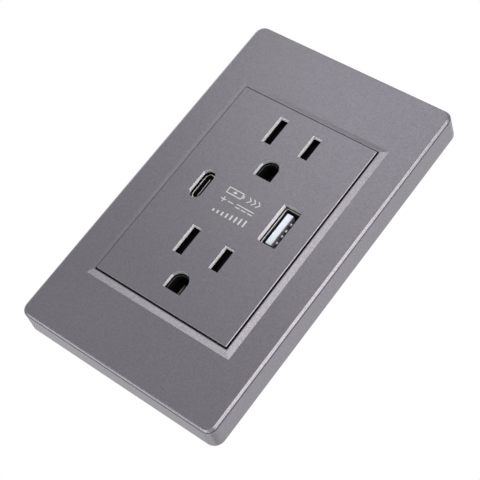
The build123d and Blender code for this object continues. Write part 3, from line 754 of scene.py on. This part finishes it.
# tongue of the wide port: pale and broad-faced, with a darker plastic as painted shade on its contact side
portTongue = {
    "tip": 7.8 * mm,
    "middle": 13.75 * mm,
    "halfWide": 0.95 * mm,
    "chamfer": 0.4 * mm,
    "ease": 0.14 * mm,
    "fuller": 0.28 * mm,
    "bed": 0.5,  # the bed's normal leans more than this to the right
}
sheet = mergedCopy("usb_a_tongue")
low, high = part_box("usb_a_shell")
portLevel = (low.z + high.z) / 2
spread = portTongue["chamfer"] - portTongue["ease"]
for vert in sheet.verts:
    spot = vert.co
    if near(-spot.y, portTongue["tip"]):
        spot.x += math.copysign(spread, spot.x - portTongue["middle"])
        spot.z += math.copysign(spread, spot.z - portLevel)
    elif near(-spot.y, portTongue["tip"] - portTongue["chamfer"]):
        spot.y -= spread
    if 0 < portTongue["middle"] - spot.x < portTongue["halfWide"] + fits["level"]:
        spot.x -= portTongue["fuller"]
sheet.normal_update()
for face in sheet.faces:
    if face.normal.x > portTongue["bed"]:
        face.material_index = 1  # darker plastic: painted shade on the contact side
finishPiece(sheet, "portTongue", ["tongueWhite", "paintedShadeBed"], ["usb_a_tongue"])

# tongue of the narrow port, with the edge of its middle plate showing in its front
narrowTongue = {"plate": 0.1 * mm}
sheet = mergedCopy("usb_c_tongue")
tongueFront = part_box("usb_c_tongue")[0].y
fronts = [face for face in sheet.faces if abs(face.calc_center_median().y - tongueFront) < fits["level"]]
frontX = [vert.co.x for face in fronts for vert in face.verts]
margin = (max(frontX) - min(frontX) - narrowTongue["plate"]) / 2
bmesh.ops.inset_region(sheet, faces=fronts, thickness=margin, use_even_offset=True)
for face in fronts:
    face.material_index = 1  # contactTin
finishPiece(sheet, "narrowTongue", ["tongueBlack", "contactTin"], ["usb_c_tongue"])

# housing behind the wall
finishPiece(
    mergedCopy("rear_housing"), "rearHousing", ["housingPlastic"], ["rear_housing"])


# a Geometry Nodes tree with named counts and lengths, and the meshes that it gives
class Loom(Tree):
    def __init__(self, name, counts, lengths):
        super().__init__(bpy.data.node_groups.new(name, "GeometryNodeTree"))
        inputs = {**dict.fromkeys(counts, "NodeSocketInt"), **dict.fromkeys(lengths, "NodeSocketFloat")}
        for label, kind in inputs.items():
            self.tree.interface.new_socket(label, in_out="INPUT", socket_type=kind)
        self.tree.interface.new_socket("Geometry", in_out="OUTPUT", socket_type="NodeSocketGeometry")
        self.entry = self.tree.nodes.new("NodeGroupInput")

    def given(self, label):
        return Wire(self.tree, self.entry.outputs[label])

    def vector(self, x=0.0, y=0.0, z=0.0):
        return self.node("ShaderNodeCombineXYZ", {}, {"X": x, "Y": y, "Z": z})

    def close(self, shape, material):
        real = self.node("GeometryNodeRealizeInstances", {}, {"Geometry": shape})
        dressed = self.node("GeometryNodeSetMaterial", {}, {"Geometry": real, "Material": material})
        self.node("NodeGroupOutput", {}, {"Geometry": dressed})

    def grow(self, name, sizes):
        holder = bpy.data.objects.new(name + "Holder", bpy.data.meshes.new(name))
        scene.collection.objects.link(holder)
        modifier = holder.modifiers.new("grow", "NODES")
        modifier.node_group = self.tree
        for item in self.tree.interface.items_tree:
            if item.in_out == "INPUT":
                modifier[item.identifier] = sizes[item.name]
        made = plainMesh(holder, name)
        for face in made.polygons:
            face.material_index = 0  # the first coat of the piece that it goes into
        return made


# the trees lay their shapes flat: this stands one up on the wall
def standUp(mesh, place):
    mesh.transform(Matrix.Translation(place) @ Matrix.Rotation(math.radians(90), 4, "X"))


# generic charging signs between the ports, printed in pale ink: sizes on the panel's face in mm
portMarks = {
    "stroke": 0.3,
    "battery": {"left": -6.4, "right": -0.9, "low": 3.1, "high": 5.3},
    "nub": {"left": -0.75, "right": -0.3, "low": 3.7, "high": 4.7},
    "bolt": [(-3.2, 5.0), (-4.5, 4.05), (-3.75, 4.05), (-4.1, 3.4), (-2.8, 4.35), (-3.55, 4.35)],
    "chevrons": {"at": (1.0, 4.2), "count": 3, "pitch": 1.6, "reach": 0.95, "rise": 1.05, "thick": 0.405},
    "plus": {"at": (-5.5, 0.9), "arm": 0.95},
    "minus": {"at": (-2.9, 0.9), "arm": 0.95},
    "line": {"left": -0.9, "right": 5.3, "middle": 1.35},
    "cornerSteps": 4,
    "dashes": {
        "at": (-0.05, 0.25), "count": 3,
        "Pitch": 2.25, "Width": 1.7, "Height": 0.3, "Growth": 0.0, "Round": 0.05},
    "bars": {
        "at": (-5.9, -4.0), "count": 8,
        "Pitch": 1.56, "Width": 0.55, "Height": 0.9, "Growth": 0.21, "Round": 0.1},
}

# a row of round-cornered marks, each taller than the last by Growth
markLengths = ["Pitch", "Width", "Height", "Growth", "Round"]
markRow = Loom("markRow", ["Count"], [*markLengths, "Ink"])
points = markRow.node("GeometryNodeMeshLine", {}, {
    "Count": markRow.given("Count"), "Offset": markRow.vector(x=markRow.given("Pitch"))})
outline = markRow.node("GeometryNodeCurvePrimitiveQuadrilateral", {}, {
    "Width": markRow.given("Width"), "Height": markRow.given("Height")})
rounded = markRow.node("GeometryNodeFilletCurve", {"mode": "POLY"}, {
    "Curve": outline, "Count": portMarks["cornerSteps"], "Radius": markRow.given("Round")})
raised = markRow.node("GeometryNodeTransform", {}, {
    "Geometry": rounded, "Translation": markRow.vector(y=markRow.given("Height") * 0.5)})
flat = markRow.node("GeometryNodeFillCurve", {"mode": "NGONS"}, {"Curve": raised})
inked = markRow.node("GeometryNodeExtrudeMesh", {}, {
    "Mesh": flat, "Offset Scale": markRow.given("Ink"), "Individual": False})
order = markRow.node("GeometryNodeInputIndex", {}, {})
stretch = 1 + order * markRow.given("Growth") / markRow.given("Height")
placed = markRow.node("GeometryNodeInstanceOnPoints", {}, {
    "Points": points, "Instance": inked, "Scale": markRow.vector(1.0, stretch, 1.0)})
markRow.close(placed, finishes["printInk"])


def bar(left, right, low, high):
    return [(left, low), (right, low), (right, high), (left, high)]


def ring(left, right, low, high, stroke):
    outer = bar(left, right, low, high)
    inner = bar(left + stroke, right - stroke, low + stroke, high - stroke)
    return [[outer[k - 1], outer[k], inner[k], inner[k - 1]] for k in range(4)]


def cross(x, z, arm, half):
    outline = []
    quarter = [(arm, -half), (arm, half), (half, half)]  # one arm, turned four times
    for turn in range(4):
        outline += [(x + across, z + along) for across, along in quarter]
        quarter = [(-along, across) for across, along in quarter]
    return outline


def chevron(x, z, reach, rise, thick):
    return [
        (x, z + rise), (x + thick, z + rise), (x + thick + reach, z),
        (x + thick, z - rise), (x, z - rise), (x + reach, z)]


half = portMarks["stroke"] / 2
line, plus, minus, arrow = (portMarks[label] for label in ("line", "plus", "minus", "chevrons"))
shapes = [
    ring(**portMarks["battery"], stroke=portMarks["stroke"]),
    [bar(**portMarks["nub"])],
    [portMarks["bolt"]],
    [cross(*plus["at"], plus["arm"], half)],
    [bar(
        minus["at"][0] - minus["arm"], minus["at"][0] + minus["arm"],
        minus["at"][1] - half, minus["at"][1] + half)],
    [bar(line["left"], line["right"], line["middle"] - half, line["middle"] + half)],
]
for turn in range(arrow["count"]):
    x, z = arrow["at"]
    shapes.append([chevron(x + turn * arrow["pitch"], z, arrow["reach"], arrow["rise"], arrow["thick"])])
# half of the ink's thickness lies in the panel
inkFront, inkThick = -panelFront, 2 * panelEdges["ink"]
sheet = bmesh.new()
for shape in shapes:
    corners = {
        spot: sheet.verts.new((spot[0] * mm, inkFront, spot[1] * mm))
        for outline in shape for spot in outline}
    faces = [sheet.faces.new([corners[spot] for spot in outline]) for outline in shape]
    grown = bmesh.ops.extrude_face_region(sheet, geom=faces, use_keep_orig=True)
    backVerts = [item for item in grown["geom"] if isinstance(item, bmesh.types.BMVert)]
    bmesh.ops.translate(sheet, verts=backVerts, vec=(0, inkThick, 0))
for label in ("dashes", "bars"):
    row = portMarks[label]
    lengths = {key: row[key] * mm for key in markLengths}
    mesh = markRow.grow(label, {**lengths, "Count": row["count"], "Ink": inkThick})
    standUp(mesh, (row["at"][0] * mm, inkFront + inkThick, row["at"][1] * mm))
    sheet.from_mesh(mesh)
bmesh.ops.holes_fill(sheet, edges=[edge for edge in sheet.edges if edge.is_boundary], sides=0)
bmesh.ops.recalc_face_normals(sheet, faces=sheet.faces)
finishPiece(sheet, "portMarks", ["printInk"])

# rounded tips of the wide port's contacts, in a brighter tin than the contacts as painted glint, in a row
# whose steps are longer at its ends
contactTips = {
    "Count": 4,
    "Pitch": 1.9583 * mm,
    "Spread": 0.16667 * mm,
    "Reach": 0.5 * mm,
    "Depth": 0.55 * mm,
    "Tall": 0.56 * mm,
    "segments": 16,
    "rings": 10,
}
tipRow = Loom("tipRow", ["Count"], ["Pitch", "Spread", "Reach", "Depth", "Tall"])
step = tipRow.node("GeometryNodeInputIndex", {}, {}) - (tipRow.given("Count") - 1) * 0.5
along = step * tipRow.given("Pitch") + step * step * step * tipRow.given("Spread")
points = tipRow.node("GeometryNodeMeshLine", {}, {"Count": tipRow.given("Count"), "Offset": (0.0, 0.0, 0.0)})
points = tipRow.node("GeometryNodeSetPosition", {}, {"Geometry": points, "Offset": tipRow.vector(z=along)})
dome = tipRow.node("GeometryNodeMeshUVSphere", {}, {
    "Segments": contactTips["segments"], "Rings": contactTips["rings"], "Radius": 1.0})
placed = tipRow.node("GeometryNodeInstanceOnPoints", {}, {
    "Points": points, "Instance": dome,
    "Scale": tipRow.vector(tipRow.given("Reach"), tipRow.given("Depth"), tipRow.given("Tall"))})
tipRow.close(placed, finishes["paintedGlintTin"])
low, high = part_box("usb_a_contacts")
mesh = tipRow.grow("contactTips", contactTips)
mesh.transform(Matrix.Translation((high.x, low.y + contactTips["Depth"] * 0.5, (low.z + high.z) / 2)))
finishPiece(opened(mesh), "contactTips", ["paintedGlintTin"])

# bow springs that push the shutters shut, bent from strip along an arc
springSizes = {"Thickness": 0.25 * mm, "Width": 1.8 * mm, "Steps": 32, "anchor": 13.525 * mm, "keep": 0.32}
bowSpring = Loom("bowSpring", ["Steps"], ["Span", "Rise", "Thickness", "Width"])
arc = bowSpring.node("GeometryNodeCurveArc", {"mode": "POINTS"}, {
    "Resolution": bowSpring.given("Steps"),
    "Start": bowSpring.vector(y=bowSpring.given("Span") * -0.5),
    "Middle": bowSpring.vector(x=bowSpring.given("Rise") * -1.0),
    "End": bowSpring.vector(y=bowSpring.given("Span") * 0.5),
})
strip = bowSpring.node("GeometryNodeCurvePrimitiveQuadrilateral", {}, {
    "Width": bowSpring.given("Thickness"), "Height": bowSpring.given("Width")})
bent = bowSpring.node("GeometryNodeCurveToMesh", {}, {
    "Curve": arc, "Profile Curve": strip, "Fill Caps": True})
bowSpring.close(bent, finishes["springSteel"])
for place in ("upper", "lower"):
    low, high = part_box(place + "_shutter_spring")
    thickness = springSizes["Thickness"]
    span, rise = high.z - low.z - thickness, high.x - low.x - thickness
    mesh = bowSpring.grow(place + "Spring", {**springSizes, "Span": span, "Rise": rise})
    standUp(mesh, (high.x - thickness / 2, (low.y + high.y) / 2, (low.z + high.z) / 2))
    sheet = opened(mesh)
    bmesh.ops.recalc_face_normals(sheet, faces=sheet.faces)
    spring = finishPiece(
        sheet, place + "ShutterSpring", ["springSteel"], [place + "_shutter_spring"])
    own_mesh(spring)

# camera at the photograph's angle
lookout = {
    "place": (0.17290, -0.31983, -0.11633),
    "toward": (-0.4510, 0.8421, 0.2957),
    "up": (-0.4394, -0.4979, 0.7477),
    "lens": 97.38,
    "sensor": 36.0,
    "clipStart": 0.01,
}
camera = bpy.data.objects.new("lookout", bpy.data.cameras.new("lookout"))
scene.collection.objects.link(camera)
toward = Vector(lookout["toward"]).normalized()
right = toward.cross(Vector(lookout["up"])).normalized()
up = right.cross(toward)
aim = Matrix((right, up, -toward)).transposed().to_4x4()
camera.matrix_world = Matrix.Translation(lookout["place"]) @ aim
camera.data.sensor_width = lookout["sensor"]
camera.data.lens = lookout["lens"]
camera.data.clip_start = lookout["clipStart"]
scene.camera = camera

# soft boxes: bearing and rise as seen from the front, distance, size, power and a warm or plain colour
warm, plain = (1.0, 1.0, 0.945), (1.0, 1.0, 1.0)
softBoxes = {
    "right": {"bearing": 48, "rise": 12, "away": 0.5, "size": 0.45, "power": 2.35, "colour": warm},
    "side": {"bearing": 62, "rise": 17, "away": 0.5, "size": 0.3, "power": 0.28, "colour": warm},
    "lowRight": {"bearing": 66, "rise": -48, "away": 0.5, "size": 0.35, "power": 0.34, "colour": warm},
    "low": {"bearing": 30, "rise": -82, "away": 0.5, "size": 0.3, "power": 1.0, "colour": warm},
    "lowFront": {"bearing": -25, "rise": -36, "away": 0.5, "size": 0.2, "power": 0.41, "colour": warm},
    "lowLeft": {"bearing": -121, "rise": -58, "away": 0.5, "size": 0.35, "power": 0.66, "colour": plain},
    "lowBack": {"bearing": 150, "rise": -60, "away": 0.5, "size": 0.35, "power": 1.15, "colour": plain},
    "front": {"bearing": -23, "rise": 30, "away": 0.5, "size": 0.24, "power": 0.22, "colour": plain},
    "left": {"bearing": -98, "rise": 47, "away": 0.6, "size": 0.8, "power": 1.17, "colour": plain},
    "leftFront": {"bearing": -80, "rise": 20, "away": 0.6, "size": 0.4, "power": 0.1, "colour": plain},
    "back": {"bearing": 157, "rise": 12, "away": 1.2, "size": 1.4, "power": 2.77, "colour": plain},
}
for label, soft in softBoxes.items():
    lamp = bpy.data.lights.new(label, "AREA")
    lamp.shape = "DISK"
    lamp.size = soft["size"]
    lamp.energy = soft["power"]
    lamp.color = soft["colour"]
    stand = bpy.data.objects.new(label + "SoftBox", lamp)
    scene.collection.objects.link(stand)
    bearing, rise = math.radians(soft["bearing"]), math.radians(soft["rise"])
    away = Vector((math.sin(bearing) * math.cos(rise), -math.cos(bearing) * math.cos(rise), math.sin(rise)))
    stand.location = away * soft["away"]
    stand.rotation_mode = "QUATERNION"
    stand.rotation_quaternion = away.to_track_quat("Z", "Y")

# white beyond the floor for what the camera, gloss and glass see, a plain soft light for the rest
surround = {"colour": (1, 1, 1), "ambient": 0.1, "white": 1.0}
scene.world = bpy.data.worlds.new("surround")
air = Finish(scene.world)
looked, shone, passed = (
    air.node("ShaderNodeLightPath", {}, {}, ray)
    for ray in ("Is Camera Ray", "Is Glossy Ray", "Is Transmission Ray"))
dim, bright = (
    air.node("ShaderNodeBackground", {}, {"Color": surround["colour"], "Strength": surround[level]})
    for level in ("ambient", "white"))
mixed = air.node("ShaderNodeMixShader", {}, {0: looked | shone | passed, 1: dim, 2: bright})
air.node("ShaderNodeOutputWorld", {}, {"Surface": mixed})

# pale floor that fades to the white around it
floorPlan = {
    "level": -0.75,
    "reach": 2.5,
    "sides": 64,
    "fadeFrom": 0.35,
    "fadeOver": 0.9,
    "colour": (0.86, 0.86, 0.86),
}
sheet = bmesh.new()
bmesh.ops.create_circle(sheet, cap_ends=True, segments=floorPlan["sides"], radius=floorPlan["reach"])
bmesh.ops.translate(sheet, verts=sheet.verts, vec=(0, 0, floorPlan["level"]))
mesh = bpy.data.meshes.new("floor")
sheet.to_mesh(mesh)
sheet.free()
floor = bpy.data.objects.new("floor", mesh)
scene.collection.objects.link(floor)
ground = newFinish("paleFloor")
spread = ground.node("ShaderNodeVectorMath", {"operation": "LENGTH"}, {0: ground.place()}, "Value")
fade = ground.clamped((spread - floorPlan["fadeFrom"]) / floorPlan["fadeOver"])
matt = ground.node("ShaderNodeBsdfDiffuse", {}, {"Color": floorPlan["colour"]})
glow = ground.node("ShaderNodeEmission", {}, {"Color": surround["colour"], "Strength": surround["white"]})
blend = ground.node("ShaderNodeMixShader", {}, {0: fade, 1: matt, 2: glow})
ground.node("ShaderNodeOutputMaterial", {}, {"Surface": blend})
mesh.materials.append(ground.owner)
scene.view_settings.view_transform = "Standard"
print("camera, lights and floor set")
